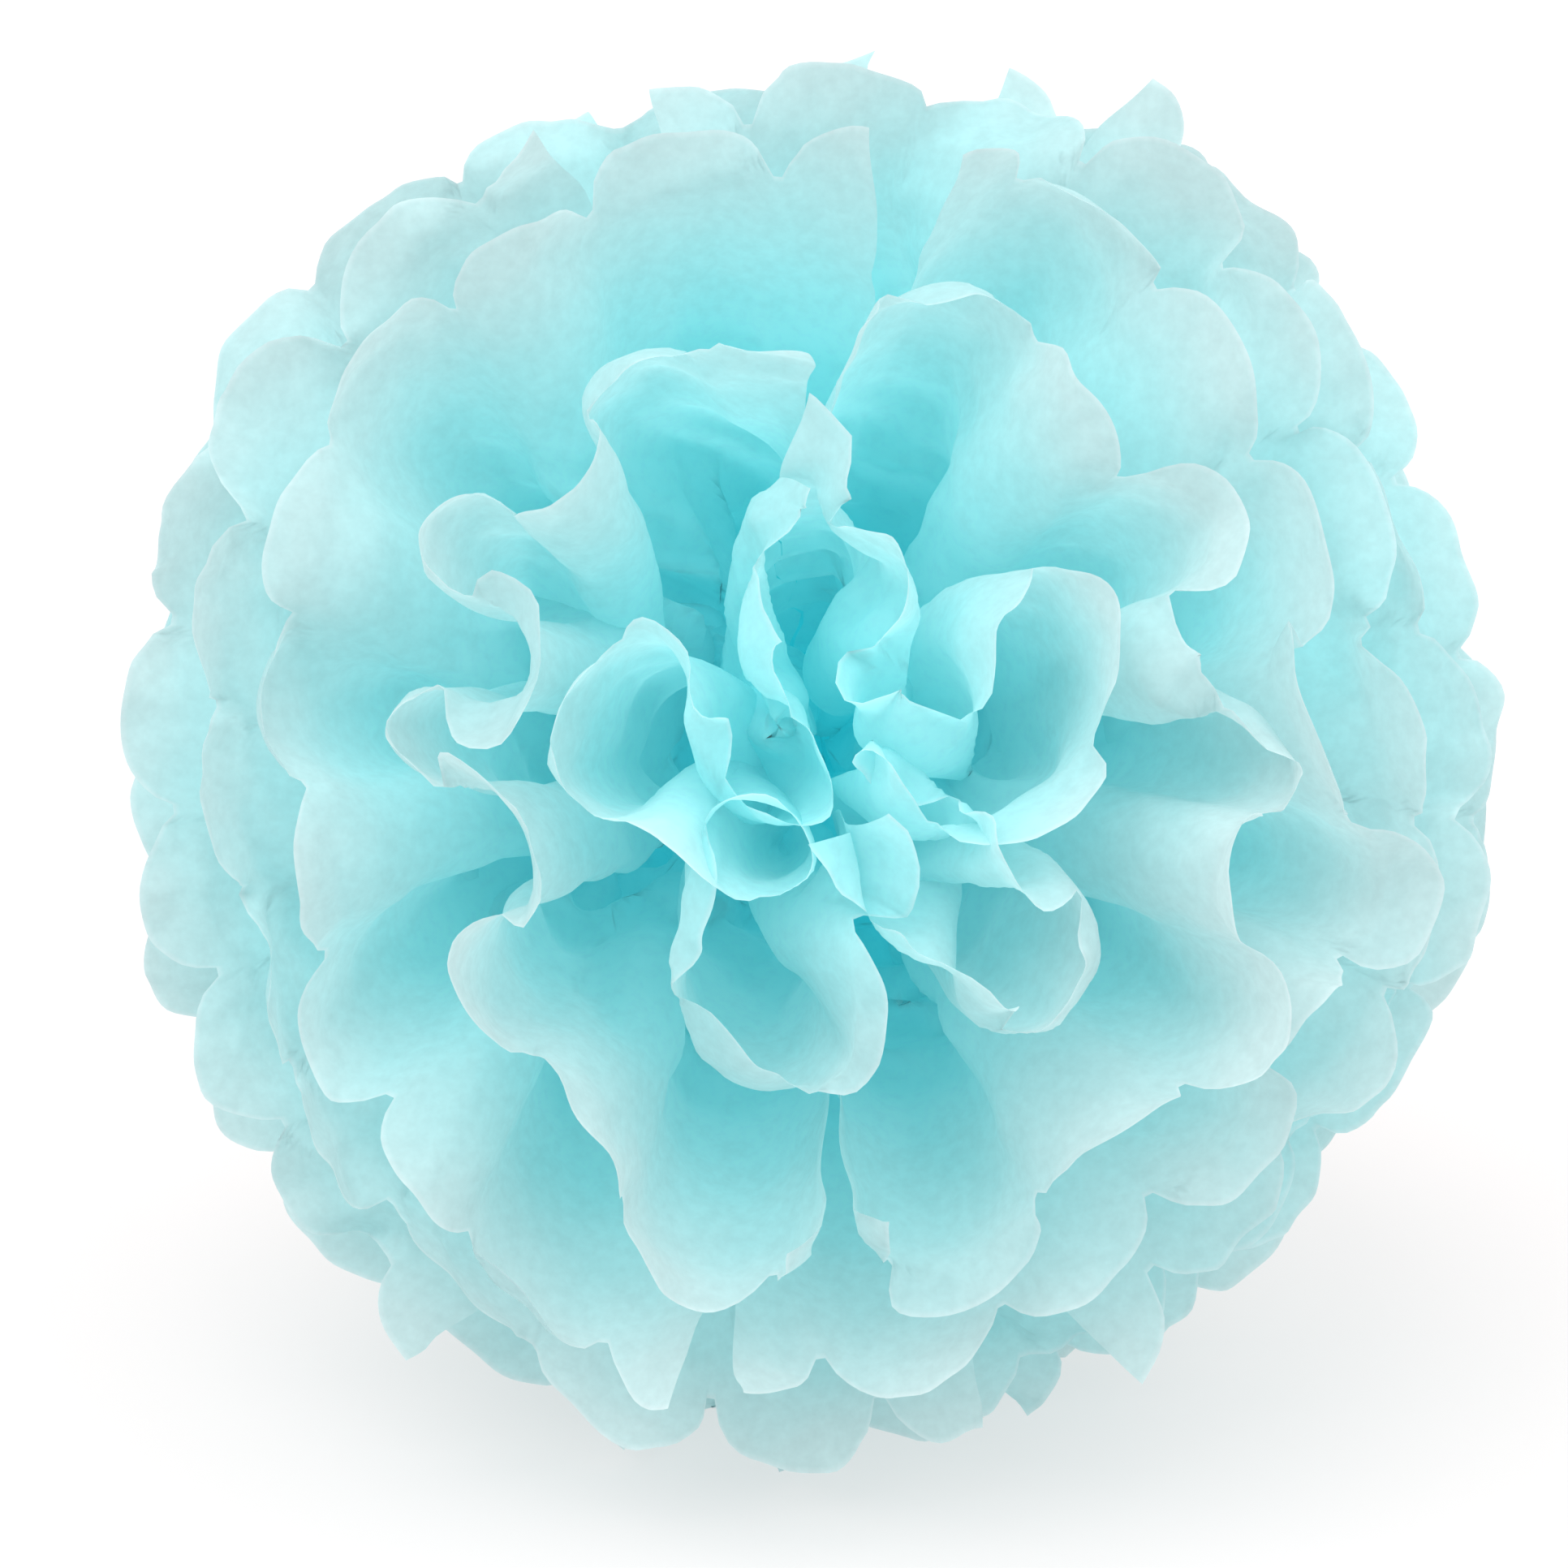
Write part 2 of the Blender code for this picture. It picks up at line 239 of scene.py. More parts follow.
def rim_line(sheet, chance):
    """One fan's rim from its first edge, as angles round the ball, towards the front pole,
    and of the petals' curl.

    The folds zigzag across the ring, as far either way as there is room. In a short ring
    there are fewer of them than panels, and the paper is drawn narrower, as if crumpled."""
    half = np.linspace(-math.pi / 2, math.pi / 2, PLEATS + 1)
    ring = BALL_RADIUS * float(np.sin(pole_angles(half)[sheet]).mean())
    room = float(room_beside(sheet, half).min())
    whole = ring * (math.pi - 2 * SEAM_ANGLE)
    along = min(whole, STRETCH * PLEATS * PLEAT_WIDTH)
    folds = min(PLEATS, int(along / LEAST_RUN))
    spread = np.array([1 + WIDTH_SPREAD * chance.uniform(-1, 1) for _ in range(folds)])
    runs = np.concatenate(([0.0], np.cumsum(along * spread / spread.sum())))
    slant = PLEATS * PLEAT_WIDTH / folds
    height = math.sqrt(max(slant**2 - (along / folds) ** 2, LEAST_RISE**2))
    most = min(height / 2, room)
    rises = [most * (1 - RISE_SPREAD * chance.random()) * (-1) ** fold for fold in range(folds + 1)]
    places = np.linspace(0, folds, PLEATS * COLUMNS_PER_PLEAT + 1)
    line = soft_line(np.stack((runs, rises), axis=-1), places)
    curl = TIP_CURL * along / (PLEATS * PLEAT_WIDTH)
    curls = np.repeat([chance.uniform(-1, 1) * curl for _ in range(PLEATS)], COLUMNS_PER_PLEAT)
    curls = np.append(curls, 0.0) * np.sin(np.arange(len(line)) * math.pi / COLUMNS_PER_PLEAT) ** 2
    free = room - np.abs(line[:, 1])
    line = np.column_stack((line, np.clip(curls, -free, free)))
    line[:, 0] += (whole - along) / 2
    return line / (ring, BALL_RADIUS, BALL_RADIUS)


def petal_reach(share):
    """The scalloped cut: how far the paper reaches, for a share across one panel."""
    across = np.abs(2 * share - 1)
    return FAN_LENGTH - SCALLOP_DEPTH * (1 - np.sqrt(1 - across**SCALLOP_ROUNDNESS))


def bend(points):
    """A slow bend of the whole ball, which moves all sheets alike and so parts none."""
    waves = points * (2 * math.pi / BEND_WAVE)
    x, y, z = waves[..., 0], waves[..., 1], waves[..., 2]
    sines = [np.sin(wave + phase) for wave, phase in zip((y, z, z, x, x, y), BEND_PHASES)]
    shift = np.stack(sines[::2], axis=-1) + np.stack(sines[1::2], axis=-1)
    reach = np.linalg.norm(points, axis=-1, keepdims=True) / BALL_RADIUS
    return points + BEND_SIZE / 2 * reach**2 * shift


def press_on_floor(points):
    """Lays what would reach below the surface flat on it, turned away from the middle."""
    below = np.maximum(PLY / 2 - points[..., 2], 0.0)
    flat = points.copy()
    flat[..., 1] += below * np.clip(points[..., 1] / PRESS_BLEND, -1, 1)
    flat[..., 2] = np.maximum(points[..., 2], PLY / 2)
    return flat


def fan_rows():
    """Shares of a fan's length on the lattice."""
    return np.linspace(0, 1, FAN_ROW_COUNT)


def small_folds(columns, chance):
    """The folds that a panel takes up nearer the waist, from -1 to 1 across each panel."""
    panel = np.minimum(columns.astype(int), PLEATS - 1)
    share = columns - panel
    sign = np.where(panel % 2, 1.0, -1.0)
    size = np.array([chance.uniform(0.7, 1.1) for _ in range(PLEATS)])[panel]
    skew = np.array([chance.uniform(-0.25, 0.25) for _ in range(PLEATS)])[panel]
    return sign * size * np.sin(2 * math.pi * (share + skew * share * (1 - share)))


def fan_points(sheet, left):
    """Rows of lattice points of one fan, from its neck end to its uncut end."""
    line = rim_line(sheet, random.Random(SEED + SHEET_SEED * sheet + left))
    detail = random.Random(SEED + SHEET_SEED * sheet + left + DETAIL_SEED)
    angle = line[:, 0] - math.pi / 2 + SEAM_ANGLE
    around = (math.pi - angle if left else angle) + seam_swing(sheet)
    own = pole_angles(around)[sheet]
    room = room_beside(sheet, around) / BALL_RADIUS
    columns = np.arange(PLEATS * COLUMNS_PER_PLEAT + 1) / COLUMNS_PER_PLEAT
    rows = fan_rows()

    folds = np.arange(PLEATS + 1)
    folded = np.where(folds % 2, -NECK_FOLD, NECK_FOLD)
    full = waist_share(sheet)
    neck = (
        (-full if left else full) * NECK_LENGTH / 2 * SIDE_AXIS
        + np.outer((columns / PLEATS - 0.5) * NECK_WIDTH * full, UP_AXIS)
        + np.outer(waist_depth(sheet) + np.interp(columns, folds, folded), FRONT_AXIS)
    )
    curl = np.maximum(0.0, rows - CURL_START) ** 2 / (1 - CURL_START) ** 2
    small = ramp(SMALL_FOLD_START, SMALL_FOLD_FULL, rows)
    pole = (
        own
        - line[:, 1]
        - np.outer(curl, line[:, 2])
        - np.outer(small, SMALL_FOLD_SHARE * room * small_folds(columns, detail))
    )
    around = np.broadcast_to(around, pole.shape)
    return neck + turned(pole, around) * (rows * FAN_LENGTH)[:, None, None]


def turned(pole, around):
    """Directions at these angles from the front pole and round the ball."""
    return (
        (np.sin(pole) * np.cos(around))[..., None] * SIDE_AXIS
        + (np.sin(pole) * np.sin(around))[..., None] * UP_AXIS
        + np.cos(pole)[..., None] * FRONT_AXIS
    )


def full_width(sheet):
    """Share of its flat width that the paper can lie out to, for each lattice row of a fan.
    Nearer the waist it is crushed together more finely than the lattice follows."""
    half = np.linspace(-math.pi / 2, math.pi / 2, PLEATS + 1)
    ring = math.pi * float(np.sin(pole_angles(half)[sheet]).mean())
    room = 2 * float(room_beside(sheet, half).mean()) / BALL_RADIUS
    radius = fan_rows() * FAN_LENGTH
    crowded = ring * room * radius**2 / LAYER_ROOM / (PLEATS * PLEAT_WIDTH)
    return np.clip(crowded, NECK_PITCH / PLEAT_WIDTH, FULL_WIDTH)


def hold_apart(points, first, second, rest, share):
    """Moves pairs of lattice points towards their rest distance."""
    gap = points[second] - points[first]
    length = np.sqrt((gap**2).sum(axis=-1))
    gap *= (0.5 * share * (1 - rest / np.maximum(length, 1e-6)))[..., None]
    points[first] += gap
    points[second] -= gap


def halves(count, step):
    """Index slices of the pairs that lie step apart, in groups that share no point."""
    groups = []
    for start in range(2 * step):
        firsts = np.arange(start, count - step, 2 * step)
        if len(firsts):
            groups.append((firsts, firsts + step))
    return groups


def keep_in_wedge(points, lows, highs, rows_held):
    """Keeps each sheet between its neighbours, by its angle from the front pole."""
    held = points[:, rows_held]
    side, up, front = held @ SIDE_AXIS, held @ UP_AXIS, held @ FRONT_AXIS
    around = np.arctan2(up, side)
    away = np.hypot(side, up)
    pole = np.arctan2(away, front)
    place = (around + math.pi) / (2 * math.pi) * (lows.shape[1] - 1)
    index = np.clip(place.astype(int), 0, lows.shape[1] - 2)
    part = place - index
    which = np.arange(len(points))[:, None, None]
    low = lows[which, index] * (1 - part) + lows[which, index + 1] * part
    high = highs[which, index] * (1 - part) + highs[which, index + 1] * part
    kept = np.clip(pole, low, high)
    size = np.hypot(away, front)
    points[:, rows_held] += 0.5 * (turned(kept, around) * size[..., None] - held)


def relax(grids):
    """Lets the paper find folds in which it keeps its width and length."""
    points = np.array(grids)
    _, row_count, column_count, _ = points.shape
    width = np.array([full_width(sheet) for sheet in range(SHEET_COUNT)])
    width = np.concatenate((width[:, ::-1], width), axis=1)
    across = np.repeat(width[..., None], column_count, axis=2) * PLEAT_WIDTH / COLUMNS_PER_PLEAT
    along = np.full(row_count - 1, FAN_LENGTH / (FAN_ROW_COUNT - 1))
    along[FAN_ROW_COUNT - 1] = NECK_LENGTH
    slant_width = (across[:, 1:] + across[:, :-1]) / 2
    slant = np.sqrt(slant_width[..., 1:] ** 2 + along[:, None] ** 2)

    crease = np.arange(column_count) % COLUMNS_PER_PLEAT == 0
    bend_hold = np.where(crease, CREASE_HOLD, BEND_HOLD)
    grid_around = np.linspace(-math.pi, math.pi, 181)
    poles = pole_angles(grid_around)
    middles = (poles[1:] + poles[:-1]) / 2
    spread = np.concatenate((np.zeros((1, 181)), middles, np.full((1, 181), math.pi)))
    lows = poles - WEDGE_SHARE * (poles - spread[:-1])
    highs = poles + WEDGE_SHARE * (spread[1:] - poles)
    rows = fan_rows()
    free = np.concatenate((rows[::-1], rows)) > WEDGE_START
    waist = [FAN_ROW_COUNT - 1, FAN_ROW_COUNT]
    tied = points[:, waist].copy()
    swings = np.array([seam_swing(sheet) for sheet in range(SHEET_COUNT)])
    seam = np.cos(swings)[:, None] * SIDE_AXIS + np.sin(swings)[:, None] * UP_AXIS
    fan_sign = np.where(np.arange(row_count) < FAN_ROW_COUNT, -1.0, 1.0)[None, :, None]

    for step in range(RELAX_STEPS):
        for first, second in halves(row_count, 1):
            rest = along[first][:, None]
            hold_apart(points, (slice(None), first), (slice(None), second), rest, 1.0)
        for first, second in halves(column_count, 1):
            rest = across[:, :, first]
            hold_apart(
                points, (slice(None), slice(None), first), (slice(None), slice(None), second), rest,
                1.0,
            )
        for lower, upper in ((0, 1), (1, 0)):
            for first, second in halves(row_count, 1):
                left = points[:, first][:, :, lower : column_count - upper]
                right = points[:, second][:, :, upper : column_count - lower]
                gap = right - left
                length = np.sqrt((gap**2).sum(axis=-1))
                rest = slant[:, first]
                gap *= (0.35 * (1 - rest / np.maximum(length, 1e-6)))[..., None] / 2
                points[:, first, lower : column_count - upper] += gap
                points[:, second, upper : column_count - lower] -= gap
        for first, second in halves(column_count, 2):
            rest = across[:, :, first] * 2
            hold_apart(
                points, (slice(None), slice(None), first), (slice(None), slice(None), second), rest,
                bend_hold[first + 1],
            )
        for first, second in halves(column_count, 4):
            rest = across[:, :, first] * 4
            hold_apart(
                points, (slice(None), slice(None), first), (slice(None), slice(None), second), rest,
                WIDE_HOLD,
            )
        for first, second in halves(row_count, 2):
            rest = (along[first] + along[first + 1])[:, None]
            hold_apart(points, (slice(None), first), (slice(None), second), rest, BEND_HOLD)
        keep_in_wedge(points, lows, highs, free)
        over = np.maximum(0.0, -(points @ seam[:, None, :, None])[..., 0] * fan_sign)
        points += (over * fan_sign)[..., None] * seam[:, None, None, :] * free[:, None, None]
        points[:, waist] = tied
    return points


def cubic(before, start, end, after, t):
    """A smooth line from start to end, past points before and after them."""
    third = 3 * (start - end) + after - before
    second = 2 * before - 5 * start + 4 * end - after
    return start + t / 2 * (end - before + t * (second + t * third))


def sample(grid, places):
    """Points between the lattice rows of a fan. places has a row number for each point."""
    last = len(grid) - 1
    index = np.clip(places.astype(int), 0, last - 1)
    t = (places - index)[..., None]
    column = np.arange(grid.shape[1])
    rows = [grid[np.clip(index + shift, 0, last), column] for shift in (-1, 0, 1, 2)]
    return cubic(*rows, t)


def cut_fan(fan, chance):
    """The fine surface of one fan, from its neck end to its scalloped tips."""
    count = fan.shape[1]
    places = np.arange((count - 1) * FINE_PER_COLUMN + 1) / FINE_PER_COLUMN
    across = np.swapaxes(fan, 0, 1)
    fine = np.swapaxes(sample(across, np.repeat(places[:, None], len(fan), axis=1)), 0, 1)
    petal, share = np.divmod(places / COLUMNS_PER_PLEAT + FOLD_SHIFT, 1.0)
    steps = 1 - (1 - np.linspace(0, 1, FINE_ROW_COUNT)) ** 1.2
    reach = np.outer(steps, petal_reach(share))
    return bend_tips(fine, petal.astype(int), share, reach, chance)


def bend_tips(fine, petal, share, reach, chance):
    """Points of a fan at these lengths from its waist, with most petals' tips bent over
    along a straight line."""
    petals = petal.max() + 1
    ends = np.array([[chance.uniform(*FLAP_DEPTH) for _ in range(2)] for _ in range(petals)])[petal]
    angles = np.array([chance.choice((-1, 0, 1)) * chance.uniform(0.4, 1) for _ in range(petals)])
    angles = (angles * FLAP_ANGLE)[petal] * ramp(0.0, 0.1, share) * ramp(1.0, 0.9, share)
    line = FAN_LENGTH - ends[:, 0] - (ends[:, 1] - ends[:, 0]) * share
    rows = (len(fine) - 1) / FAN_LENGTH
    base = sample(fine, line[None] * rows)[0]
    onward = sample(fine, (line[None] + FLAP_REACH) * rows)[0] - base
    onward /= np.linalg.norm(onward, axis=-1, keepdims=True)
    out = np.cross(onward, np.gradient(base, axis=0))
    out /= np.linalg.norm(out, axis=-1, keepdims=True)
    beyond = np.maximum(0.0, reach - line)[..., None]
    turned_way = np.cos(angles)[:, None] * onward + np.sin(angles)[:, None] * out
    kept = sample(fine, np.minimum(reach, line) * rows)
    free = sample(fine, reach * rows)
    bent = kept + beyond * turned_way
    return np.where((beyond > 0) & (angles != 0)[:, None], bent, free)


def wrinkles(points, sheet):
    """Shallow wrinkles, different on each sheet."""
    chance = random.Random(SEED + 1000 + sheet)
    shift = np.zeros_like(points)
    for size, wave in ((1.0, 0.045), (0.7, 0.027), (0.45, 0.016), (0.3, 0.009)):
        for axis in range(3):
            way = np.array([chance.gauss(0, 1) for _ in range(3)])
            way *= 2 * math.pi / wave / np.linalg.norm(way)
            other = np.array([chance.gauss(0, 1) for _ in range(3)])
            other *= 2 * math.pi / wave / np.linalg.norm(other)
            phase = chance.uniform(0, 2 * math.pi)
            wave_at = np.sin(points @ way + phase + 1.5 * np.sin(points @ other * 0.6))
            shift[..., axis] += size * wave_at
    reach = np.linalg.norm(points, axis=-1, keepdims=True) / BALL_RADIUS
    crushed = np.zeros_like(points)
    for axis in range(3):
        way = np.array([chance.gauss(0, 1) for _ in range(3)])
        way *= 2 * math.pi / CRUSH_WAVE / np.linalg.norm(way)
        twist = np.sin(points[..., axis] * 2 * math.pi / CRUSH_TWIST)
        crushed[..., axis] = np.sin(points @ way + 2 * twist)
    deep = ramp(0.05, 0.2, reach) * ramp(0.8, 0.45, reach)
    return points + WRINKLE * reach * shift + CRUSH * deep * crushed


def sheet_grids(centre):
    """Every sheet's rows of points, from the left fan's tips to the right fan's."""
    rough = [
        np.concatenate((fan_points(sheet, True)[::-1], fan_points(sheet, False)))
        for sheet in range(SHEET_COUNT)
    ]
    grids = []
    for sheet, grid in enumerate(relax(rough)):
        left, right = grid[:FAN_ROW_COUNT][::-1], grid[FAN_ROW_COUNT:]
        chance = random.Random(FLAP_SEED + sheet)
        fine = np.concatenate((cut_fan(left, chance)[::-1], cut_fan(right, chance)))
        grids.append(press_on_floor(bend(wrinkles(fine, sheet)) + centre))
    return grids


def make_sheet(name, grid, centre, material):
    """One sheet as a mesh, with what its material reads: how far each point lies from the cut, for
    the painted highlight there, and how near the surface of the ball, for the painted shade deeper
    in."""
    rows, columns = grid.shape[:2]
    corner = np.arange((rows - 1) * columns).reshape(rows - 1, columns)[:, :-1].ravel()
    faces = np.stack((corner, corner + 1, corner + columns + 1, corner + columns), axis=-1)
    mesh = bpy.data.meshes.new(name)
    mesh.from_pydata(grid.reshape(-1, 3), [], faces.tolist())
    mesh.shade_smooth()
    mesh.materials.append(material)
    run = np.cumsum(np.linalg.norm(np.diff(grid, axis=0, prepend=grid[:1]), axis=-1), axis=0)
    from_tip = mesh.attributes.new("from_tip", "FLOAT", "POINT")
    from_tip.data.foreach_set("value", np.minimum(run, run[-1] - run).ravel())
    # depth for the painted shade: lower nearer the middle of the ball and among the crowded petals
    # near the poles
    away = grid - centre
    reach = np.linalg.norm(away, axis=-1)
    from_pole = np.arccos(np.clip(np.abs(away @ FRONT_AXIS) / reach, 0, 1))
    painted_shade_depth = (reach / BALL_RADIUS - DEEPEST) / (1 - DEEPEST)
    painted_shade_depth -= POLE_SHADE * ramp(*POLE_ZONE, from_pole)
    painted_shade_attribute = mesh.attributes.new("painted_shade_depth", "FLOAT", "POINT")
    painted_shade_attribute.data.foreach_set("value", painted_shade_depth.ravel())
    obj = bpy.data.objects.new(name, mesh)
    bpy.context.scene.collection.objects.link(obj)
    return obj


def set_ramp(node, colours):
    """Gives a colour ramp these stops, each a place and a colour."""
    stops = node.color_ramp.elements
    for number, (place, colour) in enumerate(colours):
        stop = stops[number] if number < 2 else stops.new(1.0)
        stop.position = place
        stop.color = (*colour, 1)


def thin_paper(tree, colour):
    """Paper of this colour, which throws part of the light back and lets part through."""
    nodes, links = tree.nodes, tree.links
    both = nodes.new("ShaderNodeMixShader")
    both.inputs["Fac"].default_value = LET_THROUGH
    for place, kind in ((1, "ShaderNodeBsdfDiffuse"), (2, "ShaderNodeBsdfTranslucent")):
        shader = nodes.new(kind)
        links.new(colour, shader.inputs["Color"])
        links.new(shader.outputs["BSDF"], both.inputs[place])
    return both.outputs["Shader"]


def paper_material():
    material = bpy.data.materials.new("tissue")
    material.cycles.emission_sampling = "NONE"
    material.use_nodes = True
    tree = material.node_tree
    nodes, links = tree.nodes, tree.links
    nodes.clear()
    out = nodes.new("ShaderNodeOutputMaterial")
    coords = nodes.new("ShaderNodeTexCoord")

    # depth that sets the painted shade of the paper
    painted_shade_depth = nodes.new("ShaderNodeAttribute")
    painted_shade_depth.attribute_name = "painted_shade_depth"
    cloud = nodes.new("ShaderNodeTexNoise")
    cloud.inputs["Scale"].default_value = 45.0
    cloud.inputs["Detail"].default_value = 3.0
    links.new(coords.outputs["Object"], cloud.inputs["Vector"])
    sway = nodes.new("ShaderNodeMath")
    sway.operation = "MULTIPLY_ADD"
    sway.inputs[1].default_value = 0.24
    sway.inputs[2].default_value = -0.12
    links.new(cloud.outputs["Fac"], sway.inputs[0])
    mixed = nodes.new("ShaderNodeMath")
    mixed.operation = "ADD"
    links.new(painted_shade_depth.outputs["Fac"], mixed.inputs[0])
    links.new(sway.outputs["Value"], mixed.inputs[1])

    # painted shade: the paper's cyan, deeper and more saturated towards the middle of the ball
    shade = nodes.new("ShaderNodeValToRGB")
    set_ramp(shade, PAPER_COLOURS_AND_PAINTED_SHADE)
    links.new(mixed.outputs["Value"], shade.inputs["Fac"])

    fibres = nodes.new("ShaderNodeTexNoise")
    fibres.inputs["Scale"].default_value = 420.0
    fibres.inputs["Detail"].default_value = 2.0
    fibres.inputs["Roughness"].default_value = 0.65
    links.new(coords.outputs["Object"], fibres.inputs["Vector"])
    mottle = nodes.new("ShaderNodeMapRange")
    mottle.inputs["From Min"].default_value = 0.3
    mottle.inputs["From Max"].default_value = 0.7
    mottle.inputs["To Min"].default_value = 0.94
    mottle.inputs["To Max"].default_value = 1.02
    links.new(fibres.outputs["Fac"], mottle.inputs["Value"])
    # painted highlight: the paper turns paler within RIM_WIDTH of the cut
    from_tip = nodes.new("ShaderNodeAttribute")
    from_tip.attribute_name = "from_tip"
    rim = nodes.new("ShaderNodeMapRange")
    rim.inputs["From Min"].default_value = 0.0
    rim.inputs["From Max"].default_value = RIM_WIDTH
    rim.inputs["To Min"].default_value = 0.5
    rim.inputs["To Max"].default_value = 0.0
    links.new(from_tip.outputs["Fac"], rim.inputs["Value"])
    rim_highlighted = nodes.new("ShaderNodeMix")
    rim_highlighted.data_type = "RGBA"
    rim_highlighted.inputs["B"].default_value = (*PAINTED_RIM_HIGHLIGHT, 1)
    links.new(rim.outputs["Result"], rim_highlighted.inputs["Factor"])
    links.new(shade.outputs["Color"], rim_highlighted.inputs["A"])
    tone = nodes.new("ShaderNodeVectorMath")
    tone.operation = "SCALE"
    links.new(rim_highlighted.outputs["Result"], tone.inputs[0])
    links.new(mottle.outputs["Result"], tone.inputs["Scale"])

    # the same painted shade, without the mottle and the painted rim highlight, for all rays but the
    # camera's
    plain = nodes.new("ShaderNodeValToRGB")
    set_ramp(plain, PAPER_COLOURS_AND_PAINTED_SHADE)
    links.new(painted_shade_depth.outputs["Fac"], plain.inputs["Fac"])
    path = nodes.new("ShaderNodeLightPath")
    both = nodes.new("ShaderNodeMixShader")
    links.new(path.outputs["Is Camera Ray"], both.inputs["Fac"])
    links.new(thin_paper(tree, plain.outputs["Color"]), both.inputs[1])
    links.new(thin_paper(tree, tone.outputs["Vector"]), both.inputs[2])
    inner = nodes.new("ShaderNodeValToRGB")
    set_ramp(inner, INNER_GLOW)
    links.new(painted_shade_depth.outputs["Fac"], inner.inputs["Fac"])
    glow = nodes.new("ShaderNodeEmission")
    links.new(inner.outputs["Color"], glow.inputs["Color"])
    lit = nodes.new("ShaderNodeAddShader")
    links.new(both.outputs["Shader"], lit.inputs[0])
    links.new(glow.outputs["Emission"], lit.inputs[1])
    links.new(lit.outputs["Shader"], out.inputs["Surface"])
    return material


def wire_material():
    material = bpy.data.materials.new("wire")
    material.use_nodes = True
    nodes, links = material.node_tree.nodes, material.node_tree.links
    shader = nodes["Principled BSDF"]
    shader.inputs["Metallic"].default_value = 1.0
    coords = nodes.new("ShaderNodeTexCoord")
    drawn = nodes.new("ShaderNodeTexNoise")
    drawn.inputs["Scale"].default_value = 900.0
    links.new(coords.outputs["Object"], drawn.inputs["Vector"])
    shade = nodes.new("ShaderNodeValToRGB")
    shade.color_ramp.elements[0].color = (0.42, 0.43, 0.44, 1)
    shade.color_ramp.elements[1].color = (0.68, 0.69, 0.70, 1)
    links.new(drawn.outputs["Fac"], shade.inputs["Fac"])
    links.new(shade.outputs["Color"], shader.inputs["Base Color"])
    rough = nodes.new("ShaderNodeMapRange")
    rough.inputs["To Min"].default_value = 0.28
    rough.inputs["To Max"].default_value = 0.45
    links.new(drawn.outputs["Fac"], rough.inputs["Value"])
    links.new(rough.outputs["Result"], shader.inputs["Roughness"])
    return material


def make_floor():
    bpy.ops.mesh.primitive_plane_add(size=40.0, location=(0, 12.0, -0.0002))
    floor = bpy.context.object
    floor.name = "floor"
    material = bpy.data.materials.new("pale_floor")
    material.cycles.emission_sampling = "NONE"
    material.use_nodes = True
    shader = material.node_tree.nodes["Principled BSDF"]
    shader.inputs["Base Color"].default_value = (0.34, 0.315, 0.312, 1)
    shader.inputs["Roughness"].default_value = 1.0
    shader.inputs["Specular IOR Level"].default_value = 0.0
    shader.inputs["Emission Color"].default_value = (1, 1, 1, 1)
    shader.inputs["Emission Strength"].default_value = FLOOR_GLOW
    floor.data.materials.append(material)
    floor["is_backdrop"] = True


def soft_sun(name, azimuth, elevation, spread, power):
    """A wide even light. Azimuth 0 comes from the front and 90 from the right."""
    lamp = bpy.data.lights.new(name, "SUN")
    lamp.angle = math.radians(spread)
    lamp.energy = power
    obj = bpy.data.objects.new(name, lamp)
    bpy.context.scene.collection.objects.link(obj)
    obj.rotation_euler = (math.radians(90 - elevation), 0, math.radians(azimuth))


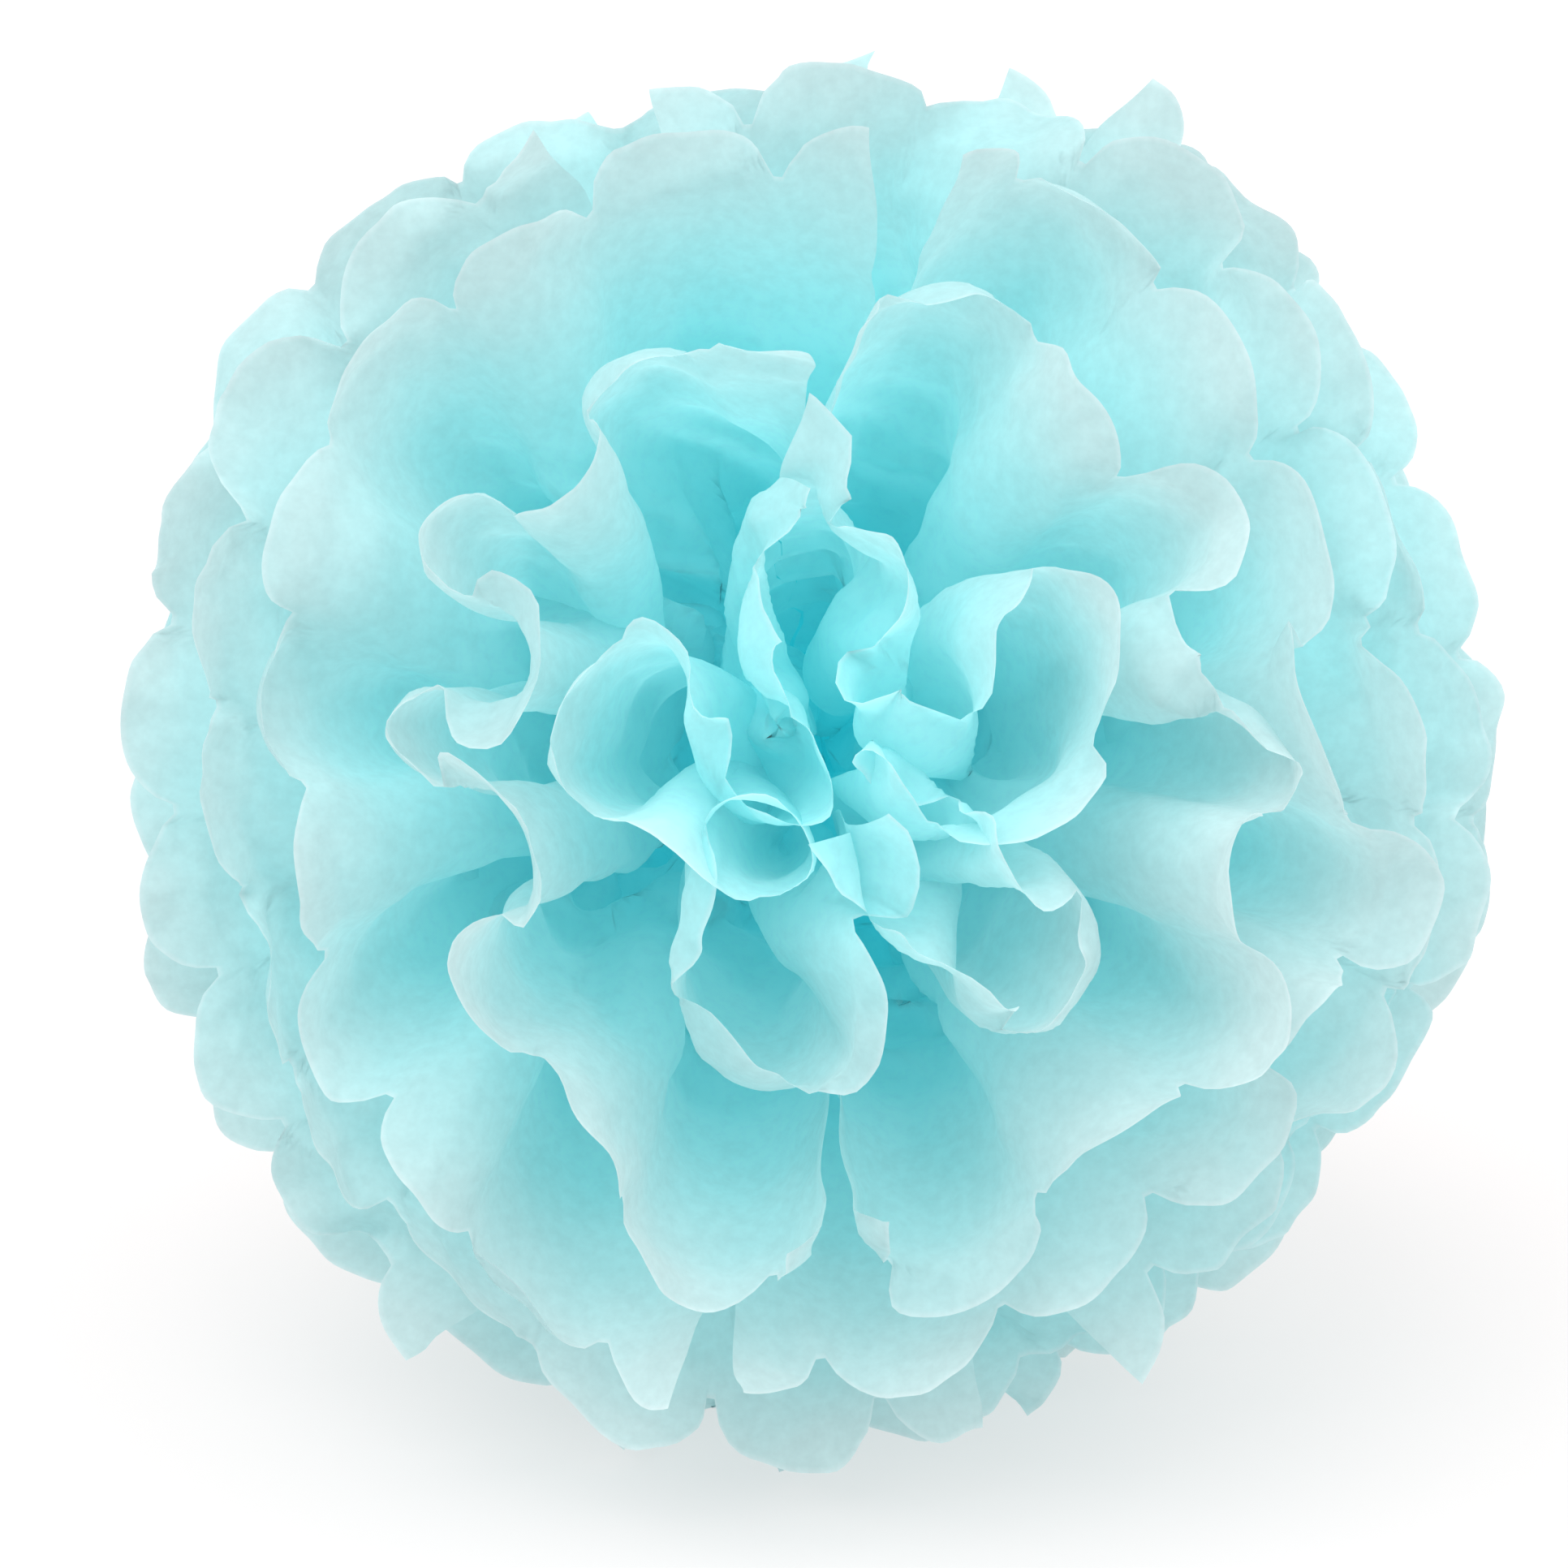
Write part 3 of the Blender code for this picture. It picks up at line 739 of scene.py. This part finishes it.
def make_lights():
    world = bpy.data.worlds.new("studio")
    bpy.context.scene.world = world
    world.use_nodes = True
    nodes, links = world.node_tree.nodes, world.node_tree.links
    nodes.clear()
    out = nodes.new("ShaderNodeOutputWorld")
    seen = nodes.new("ShaderNodeBackground")
    seen.inputs["Strength"].default_value = 1.0
    light = nodes.new("ShaderNodeBackground")
    light.inputs["Strength"].default_value = 1.21
    path = nodes.new("ShaderNodeLightPath")
    shown = path.outputs["Is Camera Ray"]
    for kind in ("Is Glossy Ray", "Is Transmission Ray"):
        either = nodes.new("ShaderNodeMath")
        either.operation = "MAXIMUM"
        links.new(shown, either.inputs[0])
        links.new(path.outputs[kind], either.inputs[1])
        shown = either.outputs["Value"]
    mix = nodes.new("ShaderNodeMixShader")
    links.new(shown, mix.inputs["Fac"])
    links.new(light.outputs["Background"], mix.inputs[1])
    links.new(seen.outputs["Background"], mix.inputs[2])
    links.new(mix.outputs["Shader"], out.inputs["Surface"])
    soft_sun("key_light", -35, 55, 50, 1.55)
    soft_sun("fill_light", 50, 50, 70, 0.95)


def make_camera(centre):
    camera = bpy.data.cameras.new("camera")
    camera.lens = CAMERA_LENS
    camera.sensor_width = SENSOR_WIDTH
    obj = bpy.data.objects.new("camera", camera)
    bpy.context.scene.collection.objects.link(obj)
    bpy.context.scene.camera = obj
    half_view = SENSOR_WIDTH / 2 / CAMERA_LENS
    distance = BALL_RADIUS / math.sin(math.atan(half_view * BALL_PIXELS / IMAGE_SIZE))
    metres_per_pixel = 2 * distance * half_view / IMAGE_SIZE
    back = np.array((0.0, -math.cos(CAMERA_ELEVATION), math.sin(CAMERA_ELEVATION)))
    up = np.array((0.0, math.sin(CAMERA_ELEVATION), math.cos(CAMERA_ELEVATION)))
    right = (IMAGE_SIZE / 2 - BALL_CENTRE_PIXEL[0]) * metres_per_pixel
    high = (BALL_CENTRE_PIXEL[1] - IMAGE_SIZE / 2) * metres_per_pixel
    obj.location = centre + back * distance + right * SIDE_AXIS + high * up
    obj.rotation_euler = (math.pi / 2 - CAMERA_ELEVATION, 0, 0)


def main():
    bpy.context.scene.view_settings.view_transform = "Standard"
    bpy.context.scene.cycles.max_bounces = LIGHT_BOUNCES
    low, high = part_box("tie_wire")
    centre = np.array(((low.x + high.x) / 2, (low.y + high.y) / 2, CENTRE_HEIGHT))
    paper = paper_material()
    for sheet, grid in enumerate(sheet_grids(centre)):
        side = "front" if sheet < SHEETS_PER_SIDE else "back"
        number = sheet + 1 if sheet < SHEETS_PER_SIDE else SHEET_COUNT - sheet
        piece = make_sheet(f"{side}_tissue_{number}", grid, centre, paper)
        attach(piece, "root")
        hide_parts(f"{side}_sheet_{number}")
    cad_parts["tie_wire"].data.materials.clear()
    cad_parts["tie_wire"].data.materials.append(wire_material())
    make_floor()
    make_lights()
    make_camera(centre)


main()
boxes = {"cad": cad_box, "visual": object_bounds()}
boxes = {name: [list(corner) for corner in box] for name, box in boxes.items()}
